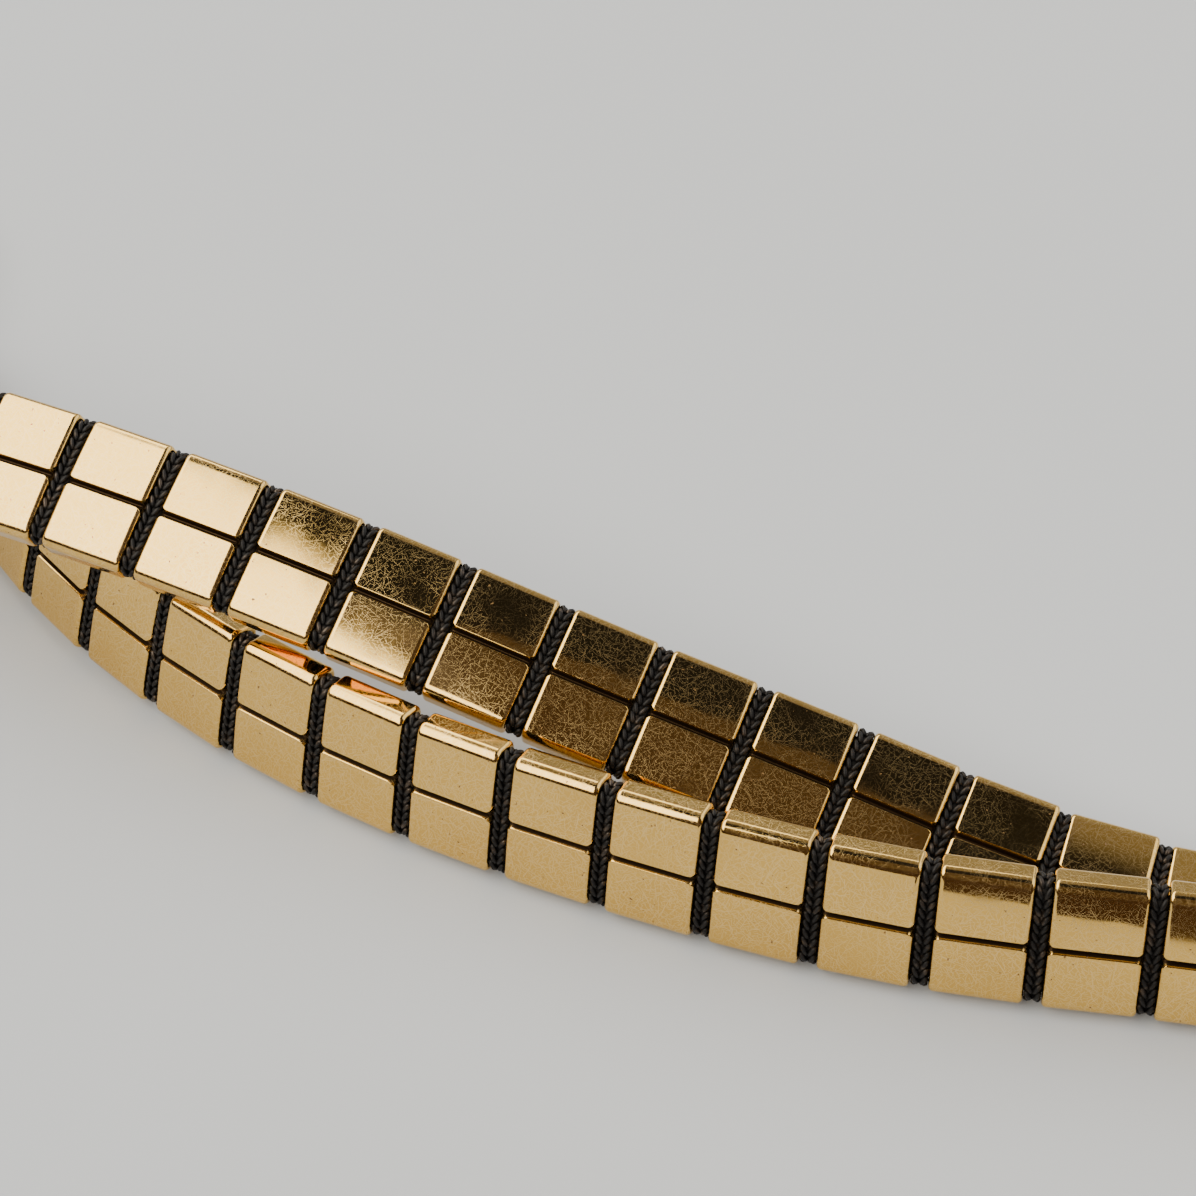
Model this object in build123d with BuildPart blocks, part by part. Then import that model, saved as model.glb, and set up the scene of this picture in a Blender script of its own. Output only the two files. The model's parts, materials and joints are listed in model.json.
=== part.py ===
from build123d import *
import os
from math import cos, radians, sin

# Double pocket watch chain: two strands of flat clip-on-ribbon chain, joined by a centre ring
# with a T-bar, each with a swivel hook at its free end. It lies on a table, Z up, in millimetres.
# The first strand lies over the second, which stands on its long edge.

# ---- driving dimensions -------------------------------------------------------------------
pitch = 4.2                 # clip to clip along a strand
gap = 0.66                  # bare ribbon between two clips
clip_width = 5.6
clip_thickness = 1.65
clip_corner = 0.42          # rounding of a clip's long edges
sheet = 0.36                # wall of a clip
groove_depth = 0.3
groove_half = 0.3
ribbon_clearance = 0.04     # all round, between ribbon and clip

cap_length = 4.4
cap_growth = 0.2            # a cap is this much wider and thicker than a clip
cap_shoulder = 0.6          # share of a cap's length that keeps its full width
cap_nose = 2.6              # its width at the bail
ribbon_in_cap = 2.8
bail_radius = 1.45
bail_hole = 0.95
bail_width = 1.0
bail_reach = cap_length + 0.75  # from a cap's mouth to the middle of its bail

jump_radius = 2.1           # ring radii are to the middle of the wire
jump_wire = 0.38            # wire sizes are radii
centre_radius = 4.2
centre_wire = 0.6
eye_radius = 1.9
eye_wire = 0.5
link_slack = 0.2            # between the wires of two linked rings

centre_slack = 0.4          # more room in the centre ring's slanting links
link_drop = 0.15            # the centre ring's wire sits this far under one strand's ring middle
link_rise = 0.6             # and this far over the other's, so it leans

stem_radius = 0.5
stem_head = 0.85
stem_head_height = 0.6
stem_length = 3.6
collar_radius = 1.5
collar_length = 3.6
collar_roof = 1.0           # solid end of the collar, past the stem's bore
turning_clearance = 0.06
hook_half = 3.95            # to the middle of the hook's wire
hook_wire = 0.75
hook_rise = 2.8             # from the collar to the hook's straight sides
hook_straight = 5.5
hook_root = (-0.7, -0.5)    # where the wire starts in the collar: off its middle, and below its end
hook_shoulder = 2.4         # radius of the wire's bends beside the collar
tip_set_back = 2.2          # how far the mouth cuts into the hook's straight side

ear_middle = 0.95           # from the hook's middle to an ear's middle
ear_thickness = 0.4
ear_width = 1.7
ear_length = 3.2
ear_corner = 0.5
ear_offset = (-0.1, -0.75)  # of an ear's middle from the gate's pin
gate_wire = 0.6
gate_boss = 0.8
gate_boss_half = 0.7
pin_radius = 0.3
pin_clearance = 0.03
pin_half = 1.17             # to the outer faces of the ears
rivet_overhang = 0.2
rivet_height = 0.2
spring_thickness = 0.14
spring_width = 0.8

bar_length = 26
bar_radius = 1.0
ball_radius = 1.45
bar_eye_radius = 1.4
bar_eye_wire = 0.42
bar_neck = 0.7              # from the eye's outside to the bar's middle
bar_band = 0.3              # the bar is this much thicker at its middle
bar_band_length = 2.6

cut_over = 0.2              # cuts run this far past a face

clips_in_a = 15
clips_in_b = 14

# The chain's box is centred on the origin and stands on Z = 0: this moves the lay points there.
lay_shift = Vector(5.66, 5.3, 0.04)

# Headings of what leaves a strand's end, as (turn about Z, climb) in degrees.
cap_a_right_way = (-9, 8)
cap_a_left_way = (154, -12)
cap_b_right_way = (-33, 0)
cap_b_left_way = (121, -2)
swivel_a_way = (155, -14)
swivel_b_way = (117, -4)
jump_a_way = (-18, 2)
jump_a_tilt = -30           # this ring leans down towards -Y
jump_b_way = (-12, 0)
centre_way = (-14, -5)
t_bar_way = (-12, 0)
bar_jump_lean = 20
bar_eye_reach = 1.8         # from the middle of the T-bar's jump ring to the T-bar's eye

# ---- how the strands lie: x, y, z of the middle line and roll -------------------------------
# Roll is 0 where the face looks up and 90 where the strand stands on edge, facing -Y.
lay_a = [
    (-32.9, 2.85, 7.85, 33),
    (-21.5, -2.7, 8.6, 32),
    (-10.1, -7.82, 7.5, 32),
    (1.5, -12.17, 4.9, 30.5),
    (9.35, -15.03, 3.2, 29),
    (17.05, -17.95, 1.75, 19),
    (21.0, -19.1, 1.35, 8),
    (25.3, -20.15, 1.2, 0),
]
lay_b = [
    (-25.5, 3.6, 3.0, 72),
    (-20.7, -3.0, 3.0, 73),
    (-11.1, -11.35, 2.95, 77),
    (0.0, -17.2, 2.95, 78),
    (11.7, -21.25, 2.95, 78),
    (20.1, -22.7, 2.95, 76),
    (24.5, -23.45, 2.95, 74),
]

core_width = clip_width - 2 * (sheet + ribbon_clearance)
core_thickness = clip_thickness - 2 * (sheet + ribbon_clearance)
clip_length = pitch - gap


def lay_curve(points):
    return Spline(*[Vector(x, y, z) + lay_shift for x, y, z, roll in points])


def roll_along(points, x):
    """Roll between the lay points, which run in order of x."""
    x = min(max(x, points[0][0]), points[-1][0])
    for before, after in zip(points, points[1:]):
        if x <= after[0]:
            share = (x - before[0]) / (after[0] - before[0])
            share = share * share * (3 - 2 * share)
            return before[3] + share * (after[3] - before[3])
    return points[-1][3]


def section_plane(place, along, roll):
    """Plane across a strand: x is the width (towards the viewer's side), y the face, z back along the strand."""
    level = along.cross(Vector(0, 0, 1)).normalized()
    up = level.cross(along)
    width = level * cos(radians(roll)) - up * sin(radians(roll))
    return Plane(origin=place, x_dir=width, z_dir=along * -1)


def gap_places(points, clips):
    """Middles of the gaps: one more than there are clips, an equal pitch apart."""
    curve = lay_curve(points)
    return [curve.position_at(n * pitch / curve.length) for n in range(clips + 1)]


def clip_planes(points, clips):
    places = gap_places(points, clips)
    planes = []
    for before, after in zip(places, places[1:]):
        middle = (before + after) / 2
        roll = roll_along(points, middle.X - lay_shift.X)
        planes.append(section_plane(middle, (after - before).normalized(), roll))
    return planes


def way(angles):
    """Unit vector of a heading and a climb."""
    turn, climb = radians(angles[0]), radians(angles[1])
    return Vector(cos(turn) * cos(climb), sin(turn) * cos(climb), sin(climb))


def rolled_plane(place, outward, roll, forward):
    """Plane with z outward, y on the face side and x across; forward is -1 at a strand's first end."""
    along = outward * forward
    level = along.cross(Vector(0, 0, 1)).normalized()
    up = level.cross(along)
    face = up * cos(radians(roll)) + level * sin(radians(roll))
    return Plane(origin=place, x_dir=face.cross(outward), z_dir=outward)


# ---- clips ----------------------------------------------------------------------------------
def make_clip(plane):
    with BuildPart(plane) as clip:
        with BuildSketch(plane):
            RectangleRounded(clip_width, clip_thickness, clip_corner)
            slot_width = core_width + 2 * ribbon_clearance
            slot_height = core_thickness + 2 * ribbon_clearance
            Rectangle(slot_width, slot_height, mode=Mode.SUBTRACT)
            top = clip_thickness / 2
            with BuildLine():
                Polyline(
                    (-groove_half, top), (0, top - groove_depth), (groove_half, top), close=True
                )
            make_face(mode=Mode.SUBTRACT)
        extrude(amount=clip_length / 2, both=True)
    return clip.part


# ---- the woven ribbon inside a strand ---------------------------------------------------------
def make_ribbon(planes, first_cap, last_cap):
    """Straight inside each clip and bent in each gap, from inside one cap to inside the other."""
    far_cap = Plane(origin=last_cap.origin, x_dir=last_cap.x_dir * -1, z_dir=last_cap.z_dir * -1)
    sections = [first_cap.offset(ribbon_in_cap), first_cap.offset(-ribbon_clearance)]
    for plane in planes:
        sections.append(plane.offset(clip_length / 2))
        sections.append(plane.offset(-clip_length / 2))
    sections += [far_cap.offset(ribbon_clearance), far_cap.offset(-ribbon_in_cap)]
    with BuildPart() as ribbon:
        for section in sections:
            with BuildSketch(section):
                Rectangle(core_width, core_thickness)
        loft(ruled=True)
    return ribbon.part


# ---- end caps with their bails ----------------------------------------------------------------
def make_cap(plane):
    """Sleeve over the ribbon's end, narrowing to a bail whose hole runs across the strand."""
    wide = clip_width + cap_growth
    thick = clip_thickness + cap_growth
    mouth_cut = ribbon_in_cap + ribbon_clearance + cut_over
    with BuildPart(plane) as cap:
        with BuildSketch(plane):
            RectangleRounded(wide, thick, clip_corner)
        with BuildSketch(plane.offset(cap_length * cap_shoulder)):
            RectangleRounded(wide, thick, clip_corner)
        with BuildSketch(plane.offset(cap_length)):
            RectangleRounded(cap_nose, thick, clip_corner)
        loft(ruled=True)
        with BuildSketch(plane.offset(-cut_over)):
            Rectangle(core_width + 2 * ribbon_clearance, core_thickness + 2 * ribbon_clearance)
        extrude(amount=mouth_cut, mode=Mode.SUBTRACT)
        bail_plane = Plane(
            origin=plane.origin + plane.z_dir * bail_reach, x_dir=plane.z_dir, z_dir=plane.x_dir
        )
        with BuildSketch(bail_plane):
            Circle(bail_radius)
            with Locations((-bail_radius / 2, 0)):
                Rectangle(bail_radius, thick)
        extrude(amount=bail_width / 2, both=True)
        with BuildSketch(bail_plane):
            Circle(bail_hole)
        extrude(amount=bail_width / 2 + cut_over, both=True, mode=Mode.SUBTRACT)
    return cap.part


# ---- rings ------------------------------------------------------------------------------------
def make_ring(plane, radius, wire):
    """Round wire ring about the plane's z."""
    with BuildPart(plane) as ring:
        Torus(radius, wire)
    return ring.part


def linked_ring_plane(held_at, outward, across, tilt):
    """Plane of a jump ring whose wire passes through held_at in the direction across."""
    axis = outward.cross(across).normalized()
    axis = axis * cos(radians(tilt)) + axis.cross(outward) * sin(radians(tilt))
    return Plane(origin=held_at + outward * jump_radius, x_dir=outward, z_dir=axis)


# ---- swivel hook: the plane's origin is the eye's middle, z points to the hook's end ----------
collar_start = eye_radius + 2 * eye_wire
collar_end = collar_start + collar_length
hook_bend = collar_end + hook_rise
hook_end = hook_bend + hook_straight
tip_height = hook_end - tip_set_back
gate_pivot = (1.5, collar_end + 1.1)
gate_tip = (3.5, tip_height - 1.42)
spring_foot = (0.3, collar_end + 0.02)
spring_bend = (0.35, collar_end + 2.2)
spring_end = (gate_tip[0] - 1.5, gate_tip[1] - 1.0)
head_start = eye_radius + stem_length - stem_head_height


def side_plane(plane):
    """The plane that a hook is drawn in: x across it, y towards its end."""
    return Plane(origin=plane.origin, x_dir=plane.x_dir, z_dir=plane.y_dir * -1)


def make_swivel_eye(plane):
    """Ring across the chain's face with a headed stem, which turns in the hook's collar."""
    with BuildPart(plane) as eye:
        Torus(eye_radius, eye_wire, rotation=(0, 90, 0))
        with BuildSketch(plane.offset(eye_radius)):
            Circle(stem_radius)
        extrude(amount=stem_length)
        with BuildSketch(plane.offset(head_start)):
            Circle(stem_head)
        extrude(amount=stem_head_height)
    return eye.part


def make_hook(plane):
    """Collar round the stem, a bent wire hook and two ears for the gate's pin."""
    with BuildPart(plane) as hook:
        with BuildSketch(plane.offset(collar_start)):
            Circle(collar_radius)
        extrude(amount=collar_length)
        with BuildLine(side_plane(plane)) as path:
            root = (hook_root[0], collar_end + hook_root[1])
            shank = FilletPolyline(
                root, (-hook_half, hook_bend), (-hook_half, hook_end), radius=hook_shoulder
            )
            ThreePointArc((-hook_half, hook_end), (0, hook_end + hook_half), (hook_half, hook_end))
            Line((hook_half, hook_end), (hook_half, tip_height))
        with BuildSketch(Plane(origin=shank @ 0, z_dir=shank % 0)):
            Circle(hook_wire)
        sweep(path=path.wires()[0])
        with Locations((hook_half, 0, tip_height)):
            Sphere(hook_wire)
        for face in (-1, 1):
            with BuildSketch(side_plane(plane).offset(face * ear_middle)):
                with Locations((gate_pivot[0] + ear_offset[0], gate_pivot[1] + ear_offset[1])):
                    RectangleRounded(ear_width, ear_length, ear_corner)
            extrude(amount=ear_thickness / 2, both=True)
        with BuildSketch(side_plane(plane)):
            with Locations(gate_pivot):
                Circle(pin_radius + pin_clearance)
        extrude(amount=pin_half + cut_over, both=True, mode=Mode.SUBTRACT)
        with BuildSketch(plane.offset(collar_start)):
            Circle(stem_radius + turning_clearance)
        extrude(amount=collar_length - collar_roof, mode=Mode.SUBTRACT)
        with BuildSketch(plane.offset(head_start - turning_clearance)):
            Circle(stem_head + turning_clearance)
        extrude(amount=stem_head_height + 2 * turning_clearance, mode=Mode.SUBTRACT)
    return hook.part


def make_gate(plane):
    """Sprung bar that closes the hook's mouth, bored for its pin."""
    with BuildPart(plane) as gate:
        with BuildLine(side_plane(plane)):
            bar = Line(gate_pivot, gate_tip)
        with BuildSketch(Plane(origin=bar @ 0, z_dir=bar % 0)):
            Circle(gate_wire)
        sweep(path=bar)
        with Locations((gate_tip[0], 0, gate_tip[1])):
            Sphere(gate_wire)
        with BuildSketch(side_plane(plane)):
            with Locations(gate_pivot):
                Circle(gate_boss)
        extrude(amount=gate_boss_half, both=True)
        with BuildSketch(side_plane(plane)):
            with Locations(gate_pivot):
                Circle(pin_radius + pin_clearance)
        extrude(amount=gate_boss_half + cut_over, both=True, mode=Mode.SUBTRACT)
    return gate.part


def make_gate_pin(plane):
    """Pin through the ears, riveted over at both ends."""
    with BuildPart(plane) as pin:
        with BuildSketch(side_plane(plane)):
            with Locations(gate_pivot):
                Circle(pin_radius)
        extrude(amount=pin_half, both=True)
        for face in (-1, 1):
            with BuildSketch(side_plane(plane).offset(face * (pin_half + rivet_height / 2))):
                with Locations(gate_pivot):
                    Circle(pin_radius + rivet_overhang)
            extrude(amount=rivet_height / 2, both=True)
    return pin.part


def make_gate_spring(plane):
    """Bent leaf from the collar's end to the inner side of the gate."""
    with BuildPart(plane) as spring:
        with BuildLine(side_plane(plane)) as leaf:
            Polyline(spring_foot, spring_bend, spring_end)
        with BuildSketch(Plane(origin=leaf.wires()[0] @ 0, z_dir=plane.z_dir, x_dir=plane.x_dir)):
            Rectangle(spring_thickness, spring_width)
        sweep(path=leaf.wires()[0], transition=Transition.RIGHT)
    return spring.part


# ---- T-bar ------------------------------------------------------------------------------------
def make_t_bar(plane):
    """Turned bar along the plane's x with ball ends and an eye at its middle."""
    bar_offset = bar_eye_radius + bar_eye_wire + bar_neck
    with BuildPart(plane) as bar:
        Torus(bar_eye_radius, bar_eye_wire, rotation=(90, 0, 0))
        with Locations((0, 0, bar_offset)):
            Cylinder(bar_radius, bar_length, rotation=(0, 90, 0))
            Cylinder(bar_radius + bar_band, bar_band_length, rotation=(0, 90, 0))
        for end in (-1, 1):
            with Locations((end * bar_length / 2, 0, bar_offset)):
                Sphere(ball_radius)
    return bar.part


# ---- the chain as it lies ---------------------------------------------------------------------
def end_plane(place, angles, roll, forward):
    outward = way(angles)
    return rolled_plane(place + outward * (gap / 2), outward, roll, forward)


def bail_place(cap_plane):
    return cap_plane.origin + cap_plane.z_dir * bail_reach


gaps_a = gap_places(lay_a, clips_in_a)
gaps_b = gap_places(lay_b, clips_in_b)
planes_a = clip_planes(lay_a, clips_in_a)
planes_b = clip_planes(lay_b, clips_in_b)

cap_planes = {
    "a_left": end_plane(gaps_a[0], cap_a_left_way, lay_a[0][3], -1),
    "a_right": end_plane(gaps_a[-1], cap_a_right_way, lay_a[-1][3], 1),
    "b_left": end_plane(gaps_b[0], cap_b_left_way, lay_b[0][3], -1),
    "b_right": end_plane(gaps_b[-1], cap_b_right_way, lay_b[-1][3], 1),
}
jump_ways = {
    "a_left": way(swivel_a_way),
    "a_right": way(jump_a_way),
    "b_left": way(swivel_b_way),
    "b_right": way(jump_b_way),
}
jump_tilts = {"a_left": 0, "a_right": jump_a_tilt, "b_left": 0, "b_right": 0}
jump_planes = {
    end: linked_ring_plane(bail_place(plane), jump_ways[end], plane.x_dir, jump_tilts[end])
    for end, plane in cap_planes.items()
}


def link_place(end, wire):
    """Where the wire of the next ring lies inside a jump ring's far end."""
    reach = jump_radius - jump_wire - wire - link_slack
    return jump_planes[end].origin + jump_ways[end] * reach


link_a = link_place("a_right", centre_wire + centre_slack) - Vector(0, 0, link_drop)
link_b = link_place("b_right", centre_wire + centre_slack) + Vector(0, 0, link_rise)
chord = link_b - link_a
centre_ahead = way(centre_way)
centre_ahead = (centre_ahead - chord * (centre_ahead.dot(chord) / chord.dot(chord))).normalized()
centre_place = (link_a + link_b) / 2
centre_place += centre_ahead * (centre_radius**2 - chord.length**2 / 4) ** 0.5
centre_plane = Plane(origin=centre_place, x_dir=centre_ahead, z_dir=chord.cross(centre_ahead))

bar_way = way(t_bar_way)
bar_jump_reach = centre_radius + jump_radius - jump_wire - centre_wire - link_slack - centre_slack / 4
bar_jump_place = centre_place + bar_way * bar_jump_reach
bar_jump_height = jump_radius * cos(radians(bar_jump_lean)) + jump_wire
bar_jump_place = Vector(bar_jump_place.X, bar_jump_place.Y, bar_jump_height)
bar_across = bar_way.cross(Vector(0, 0, 1))
bar_jump_axis = bar_across * cos(radians(bar_jump_lean)) + Vector(0, 0, sin(radians(bar_jump_lean)))
bar_jump_plane = Plane(origin=bar_jump_place, x_dir=bar_way, z_dir=bar_jump_axis)
bar_eye_place = bar_jump_place + bar_way * bar_eye_reach
bar_eye_place = Vector(bar_eye_place.X, bar_eye_place.Y, ball_radius)
bar_plane = Plane(origin=bar_eye_place, x_dir=bar_across, z_dir=bar_way)


def swivel_planes(end, roll, forward):
    """Planes of a swivel's eye, which lies across the jump ring, and of its hook, which lies flat."""
    outward = jump_ways[end]
    middle = link_place(end, eye_wire) + outward * eye_radius
    return rolled_plane(middle, outward, roll, forward), rolled_plane(middle, outward, 0, forward)


eye_plane_a, hook_plane_a = swivel_planes("a_left", lay_a[0][3], -1)
eye_plane_b, hook_plane_b = swivel_planes("b_left", lay_b[0][3], -1)

pieces = {}
for strand, planes in (("a", planes_a), ("b", planes_b)):
    for count, plane in enumerate(planes, 1):
        pieces[f"clip_{strand}{count:02d}"] = make_clip(plane)
    left, right = cap_planes[strand + "_left"], cap_planes[strand + "_right"]
    pieces["ribbon_" + strand] = make_ribbon(planes, left, right)
for end in cap_planes:
    pieces["end_cap_" + end] = make_cap(cap_planes[end])
    pieces["jump_ring_" + end] = make_ring(jump_planes[end], jump_radius, jump_wire)
pieces["centre_ring"] = make_ring(centre_plane, centre_radius, centre_wire)
pieces["jump_ring_bar"] = make_ring(bar_jump_plane, jump_radius, jump_wire)
pieces["t_bar"] = make_t_bar(bar_plane)
swivels = {"a": (eye_plane_a, hook_plane_a), "b": (eye_plane_b, hook_plane_b)}
for strand, (eye_plane, hook_plane) in swivels.items():
    pieces["swivel_eye_" + strand] = make_swivel_eye(eye_plane)
    pieces["hook_" + strand] = make_hook(hook_plane)
    pieces["gate_" + strand] = make_gate(hook_plane)
    pieces["gate_pin_" + strand] = make_gate_pin(hook_plane)
    pieces["gate_spring_" + strand] = make_gate_spring(hook_plane)

os.makedirs("parts", exist_ok=True)
for name, piece in pieces.items():
    piece.label = name
    export_step(piece, f"parts/{name}.step")
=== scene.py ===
import json
import math
import random

import bpy
from mathutils import Matrix, Vector


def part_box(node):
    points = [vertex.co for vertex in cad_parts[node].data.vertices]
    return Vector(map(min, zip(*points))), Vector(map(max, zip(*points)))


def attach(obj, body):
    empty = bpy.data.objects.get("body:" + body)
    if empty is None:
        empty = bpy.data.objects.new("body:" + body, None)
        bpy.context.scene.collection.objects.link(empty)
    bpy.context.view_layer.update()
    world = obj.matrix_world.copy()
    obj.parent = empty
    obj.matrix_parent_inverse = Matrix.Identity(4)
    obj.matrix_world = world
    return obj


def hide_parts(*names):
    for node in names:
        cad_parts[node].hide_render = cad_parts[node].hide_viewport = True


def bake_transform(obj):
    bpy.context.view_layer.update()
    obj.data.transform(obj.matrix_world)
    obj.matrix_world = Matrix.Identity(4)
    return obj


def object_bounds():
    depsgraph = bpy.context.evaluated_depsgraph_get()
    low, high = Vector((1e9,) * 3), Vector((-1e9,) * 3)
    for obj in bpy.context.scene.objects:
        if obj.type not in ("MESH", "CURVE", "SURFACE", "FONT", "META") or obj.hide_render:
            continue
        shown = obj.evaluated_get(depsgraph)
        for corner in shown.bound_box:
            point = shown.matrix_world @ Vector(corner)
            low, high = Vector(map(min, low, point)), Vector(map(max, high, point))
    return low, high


# Double pocket watch chain: gold clips on a dark knitted ribbon, with a ring, a T-bar and two
# swivel hooks. The CAD frame holds every place; this file makes the finished surfaces.

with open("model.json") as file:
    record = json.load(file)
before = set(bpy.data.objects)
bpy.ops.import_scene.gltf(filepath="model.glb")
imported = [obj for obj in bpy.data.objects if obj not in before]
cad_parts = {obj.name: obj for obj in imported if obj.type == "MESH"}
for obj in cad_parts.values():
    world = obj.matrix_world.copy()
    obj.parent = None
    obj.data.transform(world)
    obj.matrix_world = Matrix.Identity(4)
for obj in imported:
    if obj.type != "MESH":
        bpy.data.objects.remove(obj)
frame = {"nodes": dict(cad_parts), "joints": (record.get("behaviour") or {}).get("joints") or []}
cad_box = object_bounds()

MM = 0.001
random.seed(31)

# ---- sizes in millimetres, as the CAD model has them ---------------------------------------------
CLIPS = {"a": 15, "b": 14}
GAP = 0.66
CLIP_LENGTH = 3.54
CLIP_WIDTH = 5.6
CLIP_THICKNESS = 1.65
CLIP_CORNER = 0.45
SLOT_WIDTH = 4.88
SLOT_THICKNESS = 0.93
SLOT_CORNER = 0.12
END_ROUND = 0.19            # rounding of a clip's end edges
GROOVE_HALF = 0.15
GROOVE_DEPTH = 0.3
GROOVE_FLARE = 0.3          # the tile corners beside the groove have this radius
SEAM_HALF = 0.09            # where the sheet's edges meet on a clip's back
SEAM_DEPTH = 0.14
TILE_FALL = 0.09            # how far a tile's outer side lies under its side at the groove
RIBBON_WIDTH = 5.16         # knitted ribbon where it shows in a gap
RIBBON_THICKNESS = 1.0
WIRE = 0.1                  # radius of the ribbon's wire
STITCH = 0.385              # stitch to stitch round the ribbon
EDGE_SOFT = 0.08            # rounding of the fittings' edges

joints = {joint["name"]: joint for joint in frame["joints"]}


def gap_joint(strand, count):
    return joints[f"gap_{strand}{count:02d}"]


def gap_point(strand, count):
    return Vector(gap_joint(strand, count)["pos_m"])


def gap_across(strand, count):
    """Width direction at a gap, towards the front. Every second hinge axis points the other way."""
    axis = Vector(gap_joint(strand, count)["axis"])
    return axis if count % 2 else -axis


def upright(origin, across, face, back):
    """Matrix with x across a strand, y out of its face and z back along it."""
    matrix = Matrix((across, face, back)).transposed().to_4x4()
    matrix.translation = origin
    return matrix


# ---- mesh helpers --------------------------------------------------------------------------------
def mesh_piece(name, points, faces, material, matrix=None):
    """Smooth-shaded object from points in millimetres; the matrix is worked into the mesh."""
    mesh = bpy.data.meshes.new(name)
    mesh.from_pydata([Vector(point) * MM for point in points], [], faces)
    if matrix is not None:
        mesh.transform(matrix)
    mesh.polygons.foreach_set("use_smooth", [True] * len(mesh.polygons))
    mesh.materials.append(material)
    mesh.update()
    piece = bpy.data.objects.new(name, mesh)
    bpy.context.scene.collection.objects.link(piece)
    return piece


def bridge(first, second, count):
    """Quads between two closed loops of count points that start at these indices."""
    quads = []
    for n in range(count):
        after = (n + 1) % count
        quads.append((first + n, first + after, second + after, second + n))
    return quads


# ---- node helpers --------------------------------------------------------------------------------
class Shader:
    """A material's node tree, filled by short calls."""

    def __init__(self, name):
        self.material = bpy.data.materials.new(name)
        self.material.use_nodes = True
        self.tree = self.material.node_tree
        self.surface = self.tree.nodes["Principled BSDF"]
        coordinates = self.add("ShaderNodeTexCoord")
        self.place = coordinates.outputs["Object"]
        self.normal = coordinates.outputs["Normal"]

    def add(self, kind, settings=None, **sockets):
        node = self.tree.nodes.new(kind)
        for key, value in (settings or {}).items():
            setattr(node, key, value)
        for key, value in sockets.items():
            self.feed(node.inputs[key.replace("_", " ")], value)
        return node

    def feed(self, socket, value):
        if isinstance(value, bpy.types.NodeSocket):
            self.tree.links.new(value, socket)
        else:
            socket.default_value = value

    def noise(self, per_mm, detail=3.0, place=None):
        place = place or self.place
        node = self.add("ShaderNodeTexNoise", Vector=place, Scale=per_mm / MM, Detail=detail)
        return node.outputs[0]

    def noise_colour(self, per_mm):
        node = self.add("ShaderNodeTexNoise", Vector=self.place, Scale=per_mm / MM, Detail=1.0)
        return node.outputs["Color"]

    def turned(self, angles, stretch):
        node = self.add("ShaderNodeMapping", Vector=self.place, Rotation=angles, Scale=stretch)
        return node.outputs[0]

    def math(self, operation, first, second=0.0):
        node = self.add("ShaderNodeMath", {"operation": operation})
        self.feed(node.inputs[0], first)
        self.feed(node.inputs[1], second)
        return node.outputs[0]

    def fade(self, value, low, high, from_value=0.0, to_value=1.0):
        """Smooth step of a value between low and high."""
        node = self.add("ShaderNodeMapRange", {"interpolation_type": "SMOOTHSTEP"})
        for key, number in zip(
            ("Value", "From Min", "From Max", "To Min", "To Max"),
            (value, low, high, from_value, to_value),
        ):
            self.feed(node.inputs[key], number)
        return node.outputs[0]

    def mix(self, share, first, second):
        node = self.add("ShaderNodeMix", {"data_type": "RGBA"})
        self.feed(node.inputs["Factor"], share)
        self.feed(node.inputs[6], first)
        self.feed(node.inputs[7], second)
        return node.outputs[2]

    def vector(self, operation, first, second=(0.0, 0.0, 0.0)):
        node = self.add("ShaderNodeVectorMath", {"operation": operation})
        self.feed(node.inputs[0], first)
        self.feed(node.inputs[1], second)
        return node.outputs["Value" if operation == "DOT_PRODUCT" else "Vector"]

    def bump(self, height, distance_mm, strength=1.0):
        node = self.add("ShaderNodeBump", Height=height, Distance=distance_mm * MM, Strength=strength)
        return node.outputs[0]

    def set(self, **sockets):
        for key, value in sockets.items():
            self.feed(self.surface.inputs[key.replace("_", " ")], value)


def hairlines(shader, place, per_mm, half_width_mm, reach_mm):
    """One fine straight scratch in each cell of a random pattern, each in its own direction."""
    cells = shader.add("ShaderNodeTexVoronoi", Vector=place, Scale=per_mm / MM)
    offset = shader.vector("SUBTRACT", place, cells.outputs["Position"])
    way = shader.vector("SUBTRACT", cells.outputs["Color"], (0.5, 0.5, 0.5))
    way = shader.vector("NORMALIZE", shader.vector("CROSS_PRODUCT", way, shader.normal))
    beside = shader.math("ABSOLUTE", shader.vector("DOT_PRODUCT", offset, way))
    line = shader.fade(beside, 0.0, half_width_mm * MM, 1.0, 0.0)
    distance = shader.math("DIVIDE", cells.outputs["Distance"], per_mm)
    return shader.math("MULTIPLY", line, shader.fade(distance, 0.7 * reach_mm, reach_mm, 1.0, 0.0))


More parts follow.
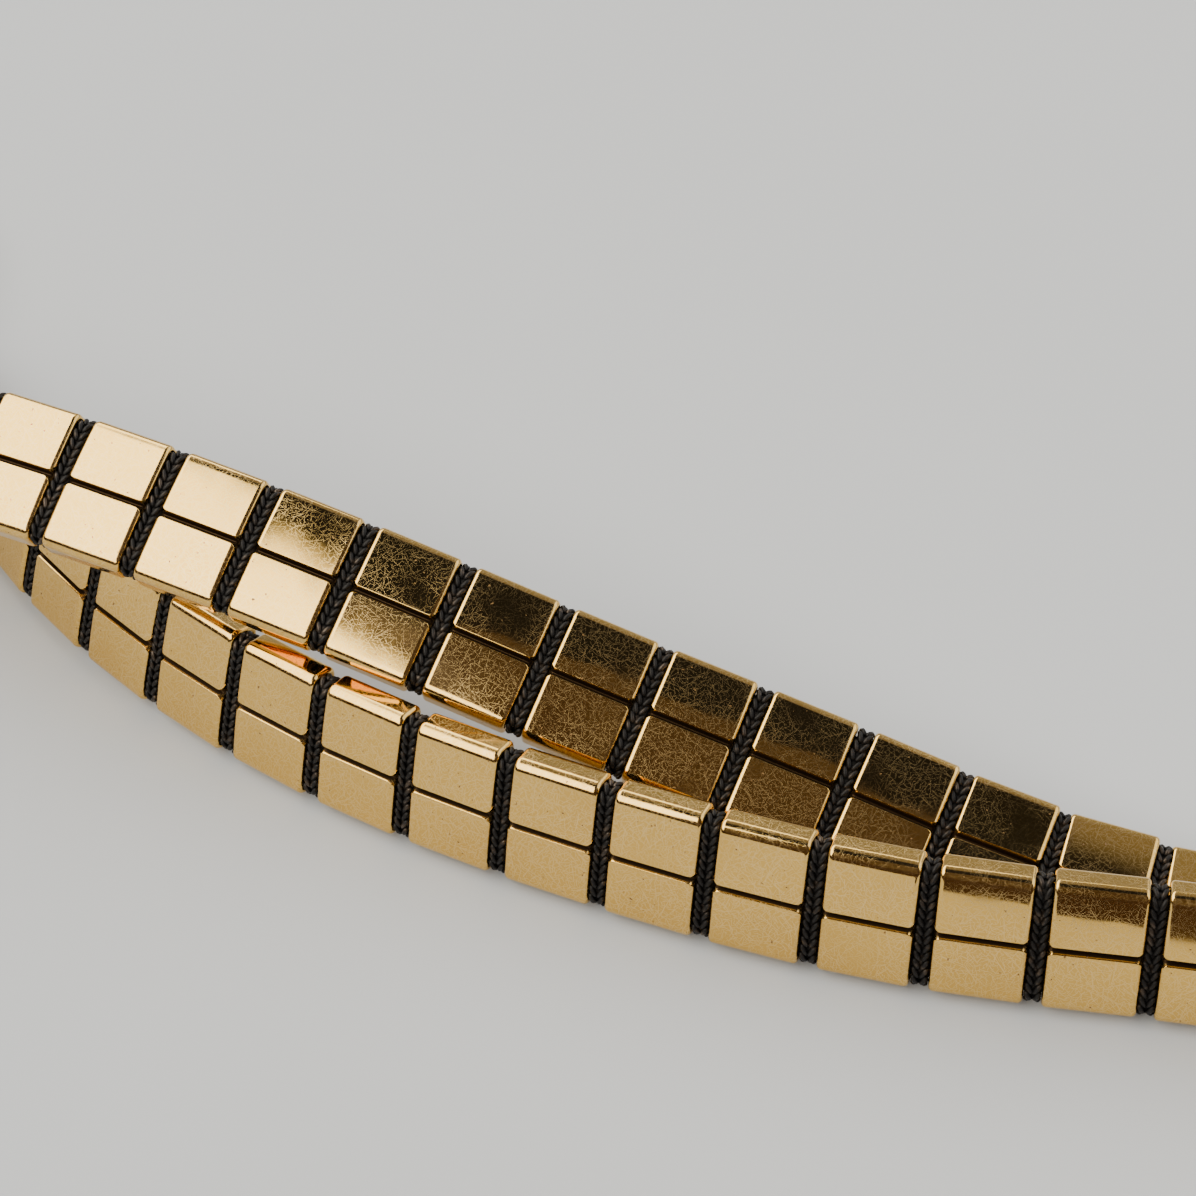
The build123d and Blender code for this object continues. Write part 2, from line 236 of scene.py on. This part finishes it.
def gold_material(name, wear):
    """Polished gold plate: hairline scratches, rub haze, specks, painted shade in hollows, wavy sheet."""
    shader = Shader(name)
    drift = shader.vector("SUBTRACT", shader.noise_colour(0.25), (0.5, 0.5, 0.5))
    drift = shader.vector("MULTIPLY", drift, (0.25 * MM,) * 3)
    drifted = shader.vector("ADD", shader.place, drift)
    scratches = None
    for per_mm, half_width_mm, reach_mm in (
        (1.2, 0.022, 0.75),
        (2.0, 0.020, 0.48),
        (3.0, 0.018, 0.33),
        (4.0, 0.017, 0.25),
        (5.2, 0.015, 0.19),
    ):
        lines = hairlines(shader, drifted, per_mm, half_width_mm, reach_mm)
        scratches = lines if scratches is None else shader.math("MAXIMUM", scratches, lines)
    rubbed = shader.fade(shader.noise(0.45, detail=3.0), 0.28, 0.52, 0.5, 1.0)
    scratches = shader.math("MULTIPLY", shader.math("MULTIPLY", scratches, rubbed), wear)
    specks = shader.fade(shader.noise(5.5, detail=2.0), 0.70, 0.76)
    # painted shade: darkening of the groove, back seam and slot, read from the sleeves' points
    hollow_shade = shader.add("ShaderNodeAttribute", {"attribute_name": "hollow_shade"}).outputs["Fac"]
    haze = shader.fade(shader.noise(0.5, detail=4.0), 0.42, 0.68)
    tarnish = shader.fade(shader.noise(0.16, detail=3.0), 0.45, 0.75)
    bright = shader.mix(tarnish, (0.72, 0.445, 0.110, 1.0), (0.66, 0.40, 0.10, 1.0))
    worn = shader.mix(scratches, bright, (0.95, 0.68, 0.30, 1.0))
    marked = shader.mix(specks, worn, (0.30, 0.17, 0.07, 1.0))
    # painted shade: the hollows are mixed towards near black
    colour = shader.mix(hollow_shade, marked, (0.055, 0.032, 0.016, 1.0))
    gloss = shader.fade(haze, 0.0, 1.0, 0.05, 0.10)
    gloss = shader.math("MAXIMUM", gloss, shader.math("MULTIPLY", scratches, 0.4))
    gloss = shader.math("MAXIMUM", gloss, shader.math("MULTIPLY", specks, 0.5))
    gloss = shader.math("MAXIMUM", gloss, shader.math("MULTIPLY", hollow_shade, 0.5))
    wavy = shader.bump(shader.noise(0.35, detail=1.0), 0.03, 1.0)
    shader.set(Base_Color=colour, Metallic=1.0, Roughness=gloss, Normal=wavy)
    return shader.material


def ribbon_material():
    """Blackened wire, rubbed to a dull brown shine in places."""
    shader = Shader("blackened wire")
    rubbed = shader.fade(shader.noise(2.2, detail=3.0), 0.5, 0.72)
    colour = shader.mix(rubbed, (0.012, 0.010, 0.009, 1.0), (0.07, 0.05, 0.035, 1.0))
    gloss = shader.fade(rubbed, 0.0, 1.0, 0.5, 0.3)
    grain = shader.bump(shader.noise(14.0, detail=2.0), 0.006, 0.5)
    shader.set(Base_Color=colour, Metallic=0.6, Roughness=gloss, Normal=grain)
    return shader.material


def steel_material():
    """Spring steel with fine lengthwise brushing."""
    shader = Shader("spring steel")
    brushed = shader.noise(6.0, detail=3.0, place=shader.turned((0.0, 0.0, 0.5), (1.0, 12.0, 12.0)))
    colour = shader.mix(brushed, (0.45, 0.44, 0.43, 1.0), (0.62, 0.61, 0.60, 1.0))
    gloss = shader.fade(brushed, 0.3, 0.7, 0.22, 0.4)
    shader.set(Base_Color=colour, Metallic=1.0, Roughness=gloss, Normal=shader.bump(brushed, 0.004))
    return shader.material


gold = gold_material("gold plate", 0.66)
fitting_gold = gold_material("gold plate of the fittings", 0.5)
black_wire = ribbon_material()
steel = steel_material()


# ---- clips: a formed sleeve with a groove in its face and a seam in its back ---------------------
def arc_points(centre_x, centre_y, radius, start, end, count):
    points = []
    for n in range(count + 1):
        angle = math.radians(start + (end - start) * n / count)
        points.append((centre_x + radius * math.cos(angle), centre_y + radius * math.sin(angle)))
    return points


def notch(x, half, depth):
    """Depth of a V with rounded lips at a distance x from its middle."""
    share = min(abs(x) / half, 1.0)
    return depth * (1.0 - share) ** 1.1


def half_section(width, thickness, corner, groove, depth, seam, seam_depth, fall):
    """Right-hand half of a clip's section, from the middle of its face round to its back."""
    points = []
    top = thickness / 2
    for share in (0.0, 0.25, 0.5, 0.72, 0.86, 0.95, 1.0, 1.15):
        x = share * groove
        points.append((x, top - notch(x, groove, depth)))
    flat_end = width / 2 - corner
    for share in (0.06, 0.2, 0.35, 0.5, 0.63, 0.75, 0.86, 0.95):
        x = groove + (flat_end - groove) * share
        points.append((x, top - fall * share**2.2))
    points += arc_points(flat_end, top - corner - fall, corner, 90, 0, 8)
    points.append((width / 2, top - corner - fall - 0.05))
    points.append((width / 2, corner - top + 0.05))
    points += arc_points(flat_end, corner - top, corner, 0, -90, 8)
    for share in (0.06, 0.5, 0.94):
        points.append((flat_end + (seam * 1.3 - flat_end) * share, -top))
    for share in (1.0, 0.6, 0.3):
        points.append((seam * share, -top + notch(seam * share, seam, seam_depth)))
    points.append((0.0, -top + seam_depth))
    return points


def full_section(*sizes):
    right = half_section(*sizes)
    left = [(-x, y) for x, y in reversed(right[1:-1])]
    return right + left


def inset(section, amount):
    """The section moved inwards by amount along its normals."""
    moved = []
    count = len(section)
    for n, (x, y) in enumerate(section):
        before, after = section[n - 1], section[(n + 1) % count]
        run_x, run_y = after[0] - before[0], after[1] - before[1]
        length = math.hypot(run_x, run_y) or 1.0
        moved.append((x + amount * run_y / length, y - amount * run_x / length))
    return moved


def clip_rings():
    """Rings of a clip along its length: outside from end to end, then back through the slot."""
    rings = []
    half = CLIP_LENGTH / 2
    places = []
    for rise in (90, 72, 54, 36, 18, 0):
        turn = math.radians(rise)
        places.append((half - END_ROUND + END_ROUND * math.sin(turn), END_ROUND * (1 - math.cos(turn))))
    for back in (0.2, 0.27, 0.36, 0.47, 0.9, 1.4):
        places.append((half - back, 0.0))
    for z, dip in places + [(-z, dip) for z, dip in reversed(places)]:
        from_end = half - abs(z)
        flare = max(0.0, 1.0 - from_end / GROOVE_FLARE)
        groove = GROOVE_HALF + GROOVE_FLARE * 0.8 * (1.0 - math.sqrt(1.0 - flare * flare))
        outer = full_section(
            CLIP_WIDTH,
            CLIP_THICKNESS,
            CLIP_CORNER,
            groove,
            GROOVE_DEPTH,
            SEAM_HALF,
            SEAM_DEPTH,
            TILE_FALL,
        )
        rings.append([(x, y, z) for x, y in inset(outer, dip)])
    for z in (-half + 0.04, -half + 0.1, half - 0.1, half - 0.04):
        grow = 0.05 if abs(z) > half - 0.06 else 0.0
        width = SLOT_WIDTH + grow
        thickness = SLOT_THICKNESS + grow
        inner = full_section(width, thickness, SLOT_CORNER, GROOVE_HALF, 0.0, SEAM_HALF, 0.0, 0.0)
        rings.append([(x, y, z) for x, y in inner])
    return rings


def clip_matrix(strand, count):
    """Place of a clip: between its two gaps, with its face as the CAD clip has it."""
    left, right = gap_point(strand, count - 1), gap_point(strand, count)
    back = (left - right).normalized()
    guess = back.cross(gap_across(strand, count - 1) + gap_across(strand, count))
    node = frame["nodes"][f"clip_{strand}{count:02d}"]
    face = max(node.data.polygons, key=lambda polygon: polygon.area).normal.copy()
    if face.dot(guess) < 0:
        face.negate()
    return upright((left + right) / 2, face.cross(back).normalized(), face, back)


def hollow_shade_at(x, y, z):
    """Painted shade: full in the groove, the back seam and the slot, none on the outer faces."""
    in_slot = abs(x) < SLOT_WIDTH / 2 + 0.06 and abs(y) < SLOT_THICKNESS / 2 + 0.06
    in_groove = abs(x) < 0.8 * GROOVE_HALF and y > 0
    in_seam = abs(x) < 0.7 * SEAM_HALF and y < 0
    return 1.0 if in_slot or in_groove or in_seam else 0.0


def make_clips():
    """One finished sleeve for every CAD clip, each leaning a little in its own way."""
    rings = clip_rings()
    count = len(rings[0])
    points = [point for ring in rings for point in ring]
    # painted shade for the groove, back seam and slot, one value per point
    hollow_shade = [hollow_shade_at(x, y, z) for x, y, z in points]
    faces = []
    for n in range(len(rings)):
        faces += bridge(n * count, (n + 1) % len(rings) * count, count)
    for strand, clips in CLIPS.items():
        for number in range(1, clips + 1):
            node = f"clip_{strand}{number:02d}"
            lean = math.radians(random.uniform(-0.35, 0.35))
            yaw = math.radians(random.uniform(-0.3, 0.3))
            jitter = Matrix.Rotation(lean, 4, "X") @ Matrix.Rotation(yaw, 4, "Z")
            clip = mesh_piece(
                f"sleeve_{strand}{number:02d}", points, faces, gold, clip_matrix(strand, number) @ jitter
            )
            # store the painted shade of the hollows on the sleeve
            shade_layer = clip.data.attributes.new("hollow_shade", "FLOAT", "POINT")
            shade_layer.data.foreach_set("value", hollow_shade)
            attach(clip, node)
            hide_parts(node)


# ---- knitted ribbon: what shows of it in each gap ------------------------------------------------
def stadium(width, thickness, along):
    """Point and outward normal of a round-ended outline at a distance along it."""
    radius = thickness / 2
    straight = width - thickness
    turn = math.pi * radius
    along %= 2 * (straight + turn)
    side = 1
    if along >= straight + turn:
        along -= straight + turn
        side = -1
    if along < straight:
        return Vector((side * (along - straight / 2), side * radius, 0)), Vector((0, side, 0))
    angle = math.pi / 2 - (along - straight) / radius
    normal = Vector((math.cos(angle), math.sin(angle), 0)) * side
    return Vector((side * straight / 2, 0, 0)) + normal * radius, normal


def tube(path, normals, radius, sides=6):
    """Closed tube with pointed ends along a short path."""
    points, faces = [], []
    for n, place in enumerate(path):
        run = (path[min(n + 1, len(path) - 1)] - path[max(n - 1, 0)]).normalized()
        out = (normals[n] - run * normals[n].dot(run)).normalized()
        across = run.cross(out)
        thin = radius * (0.75 if n in (0, len(path) - 1) else 1.0)
        for k in range(sides):
            angle = 2 * math.pi * k / sides
            points.append(place + (out * math.cos(angle) + across * math.sin(angle)) * thin)
    for n in range(len(path) - 1):
        faces += bridge(n * sides, (n + 1) * sides, sides)
    faces.append(tuple(reversed(range(sides))))
    faces.append(tuple(range((len(path) - 1) * sides, len(path) * sides)))
    return points, faces


def knit_mesh():
    """Core of the ribbon and a row of V stitches right round it, in a gap's own frame."""
    points, faces = [], []
    perimeter = 2 * (RIBBON_WIDTH - RIBBON_THICKNESS) + math.pi * RIBBON_THICKNESS
    sides = 72
    inside = (SLOT_WIDTH - 0.12, SLOT_THICKNESS - 0.12)
    visible = (RIBBON_WIDTH, RIBBON_THICKNESS)
    reach = GAP / 2
    sections = [
        (-reach - 0.45, inside),
        (-reach + 0.02, inside),
        (-reach + 0.05, visible),
        (0.0, visible),
        (reach - 0.05, visible),
        (reach - 0.02, inside),
        (reach + 0.45, inside),
    ]
    for z, (width, thickness) in sections:
        length = 2 * (width - thickness) + math.pi * thickness
        for k in range(sides):
            place, normal = stadium(width, thickness, length * k / sides)
            points.append((place.x, place.y, z))
    for n in range(len(sections) - 1):
        faces += bridge(n * sides, (n + 1) * sides, sides)
    faces.append(tuple(reversed(range(sides))))
    faces.append(tuple(range((len(sections) - 1) * sides, len(sections) * sides)))
    stitches = round(perimeter / STITCH)
    for n in range(stitches):
        middle = perimeter * (n + 0.5) / stitches
        for side in (-1, 1):
            path, normals = [], []
            for k in range(6):
                share = k / 5
                along = middle + (share - 0.5) * STITCH * 1.1
                place, normal = stadium(RIBBON_WIDTH, RIBBON_THICKNESS, along)
                lift = 0.01 + 0.1 * math.sin(math.pi * (0.15 + 0.75 * share))
                place = place + normal * lift
                path.append(Vector((place.x, place.y, side * (0.27 - 0.22 * share))))
                normals.append(normal)
            more_points, more_faces = tube(path, normals, WIRE)
            start = len(points)
            points += more_points
            faces += [tuple(start + index for index in face) for face in more_faces]
    return points, faces


def make_ribbons():
    """One knitted length for every gap, turned to the line between the gaps beside it."""
    points, faces = knit_mesh()
    for strand, clips in CLIPS.items():
        for number in range(clips + 1):
            before = gap_point(strand, max(number - 1, 0))
            after = gap_point(strand, min(number + 1, clips))
            back = (before - after).normalized()
            face = back.cross(gap_across(strand, number)).normalized()
            here = gap_point(strand, number)
            matrix = upright(here, face.cross(back), face, back)
            knit = mesh_piece(f"knit_{strand}{number:02d}", points, faces, black_wire, matrix)
            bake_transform(knit)
            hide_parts("ribbon_" + strand)


# ---- fittings: the CAD pieces with softened edges ------------------------------------------------
def finish_node(name):
    node = frame["nodes"][name]
    node.data.materials.clear()
    node.data.materials.append(fitting_gold)
    weld = node.modifiers.new("join faces", "WELD")
    weld.merge_threshold = 0.001 * MM
    soften = node.modifiers.new("soft edges", "BEVEL")
    soften.limit_method = "ANGLE"
    soften.angle_limit = math.radians(35)
    soften.width = EDGE_SOFT * MM
    soften.segments = 3
    node.data.polygons.foreach_set("use_smooth", [True] * len(node.data.polygons))
    even = node.modifiers.new("even shading", "WEIGHTED_NORMAL")
    even.keep_sharp = True


def finish_fittings():
    for name in frame["nodes"]:
        if not name.startswith(("clip_", "ribbon_", "gate_spring")):
            finish_node(name)


def flex_springs():
    """Each leaf spring as a steel copy of its CAD piece, shown in place of it."""
    for side in "ab":
        node = frame["nodes"]["gate_spring_" + side]
        mesh = node.data.copy()
        mesh.transform(node.matrix_world)
        mesh.materials.clear()
        mesh.materials.append(steel)
        mesh.polygons.foreach_set("use_smooth", [True] * len(mesh.polygons))
        leaf = bpy.data.objects.new("leaf_spring_" + side, mesh)
        bpy.context.scene.collection.objects.link(leaf)
        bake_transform(leaf)
        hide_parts(node.name)


make_clips()
make_ribbons()
finish_fittings()
flex_springs()


# ---- floor ---------------------------------------------------------------------------------------
def make_floor():
    shader = Shader("pale floor")
    tone = shader.mix(shader.noise(0.05, detail=3.0), (0.46, 0.47, 0.49, 1.0), (0.485, 0.495, 0.515, 1.0))
    shader.set(Base_Color=tone, Roughness=0.9)
    half = 1500.0
    corners = [(-half, -half, 0), (half, -half, 0), (half, half, 0), (-half, half, 0)]
    floor = mesh_piece("floor", corners, [(0, 1, 2, 3)], shader.material)
    floor.location.z = cad_box[0].z


make_floor()


# ---- soft studio light: a large bright side, a smaller one opposite, and dark in front and above ----
def make_world():
    world = bpy.data.worlds.new("studio")
    bpy.context.scene.world = world
    world.use_nodes = True
    tree = world.node_tree
    tree.nodes.clear()
    coordinates = tree.nodes.new("ShaderNodeTexCoord")
    split = tree.nodes.new("ShaderNodeSeparateXYZ")
    tree.links.new(coordinates.outputs["Generated"], split.inputs[0])

    def fade(value, low, high):
        node = tree.nodes.new("ShaderNodeMapRange")
        node.interpolation_type = "SMOOTHSTEP"
        tree.links.new(value, node.inputs["Value"])
        node.inputs["From Min"].default_value = low
        node.inputs["From Max"].default_value = high
        return node.outputs[0]

    def ramp(value, stops):
        node = tree.nodes.new("ShaderNodeValToRGB")
        tree.links.new(value, node.inputs[0])
        node.color_ramp.elements[0].position = stops[0][0]
        node.color_ramp.elements[0].color = (*stops[0][1], 1.0)
        node.color_ramp.elements[1].position = stops[-1][0]
        node.color_ramp.elements[1].color = (*stops[-1][1], 1.0)
        for position, colour in stops[1:-1]:
            node.color_ramp.elements.new(position).color = (*colour, 1.0)
        return node.outputs[0]

    def mix(share, first, second):
        node = tree.nodes.new("ShaderNodeMix")
        node.data_type = "RGBA"
        tree.links.new(share, node.inputs["Factor"])
        for socket, value in ((node.inputs[6], first), (node.inputs[7], second)):
            if isinstance(value, bpy.types.NodeSocket):
                tree.links.new(value, socket)
            else:
                socket.default_value = (*value, 1.0)
        return node.outputs[2]

    def both(first, second):
        node = tree.nodes.new("ShaderNodeMath")
        node.operation = "MULTIPLY"
        tree.links.new(first, node.inputs[0])
        tree.links.new(second, node.inputs[1])
        return node.outputs[0]

    x, y, z = split.outputs
    front = ramp(
        z,
        [
            (0.0, (0.06, 0.04, 0.04)),
            (0.60, (0.06, 0.045, 0.045)),
            (0.72, (0.19, 0.175, 0.26)),
            (0.925, (0.19, 0.175, 0.26)),
            (0.938, (0.022, 0.024, 0.040)),
            (1.0, (0.022, 0.024, 0.040)),
        ],
    )
    behind = ramp(
        z,
        [
            (0.0, (0.50, 0.50, 0.52)),
            (0.4, (0.42, 0.42, 0.44)),
            (0.90, (0.30, 0.28, 0.30)),
            (0.955, (0.025, 0.025, 0.035)),
        ],
    )
    sky = mix(fade(y, -0.12, 0.2), front, behind)
    slanted = tree.nodes.new("ShaderNodeMath")
    slanted.operation = "ADD"
    tree.links.new(x, slanted.inputs[0])
    tree.links.new(z, slanted.inputs[1])
    left = both(fade(slanted.outputs[0], 0.71, 0.59), fade(z, 0.40, 0.52))
    sky = mix(left, sky, (5.2, 5.05, 4.5))
    right = both(fade(x, 0.34, 0.5), fade(z, 0.1, 0.3))
    sky = mix(right, sky, (1.9, 1.9, 1.9))
    background = tree.nodes.new("ShaderNodeBackground")
    tree.links.new(sky, background.inputs["Color"])
    output = tree.nodes.new("ShaderNodeOutputWorld")
    tree.links.new(background.outputs[0], output.inputs[0])


make_world()


# ---- a dark card in front, seen only in the metal's reflections, as a studio flag is -------------
def make_flag():
    shader = Shader("dark card")
    shader.set(Base_Color=(0.05, 0.03, 0.028, 1.0), Roughness=1.0)
    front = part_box("clip_b14")[0].y / MM - 12.0
    right = cad_box[1].x / MM
    outline = [(-6, 11), (14, 1.5), (right, 0), (right, 90), (-6, 90)]
    flag = mesh_piece("flag", [(x, front, z) for x, z in outline], [(0, 1, 2, 3, 4)], shader.material)
    flag.visible_camera = False
    flag.visible_diffuse = False
    flag.visible_shadow = False


make_flag()

# ---- camera: close over the crossing strands -----------------------------------------------------
CAMERA_RISE = 42.0
CAMERA_AWAY = 0.15033
CAMERA_LENS = 106.97
LOOK_AT = Vector((0.00541, 0.0053, 0.00004))

rise = math.radians(CAMERA_RISE)
camera_data = bpy.data.cameras.new("camera")
camera_data.lens = CAMERA_LENS
camera_data.sensor_width = 36.0
camera_data.clip_start = 0.01
camera_data.clip_end = 10.0
camera = bpy.data.objects.new("camera", camera_data)
bpy.context.scene.collection.objects.link(camera)
camera.location = LOOK_AT + Vector((0.0, -math.cos(rise), math.sin(rise))) * CAMERA_AWAY
camera.rotation_euler = (math.radians(90.0) - rise, 0.0, 0.0)
bpy.context.scene.camera = camera
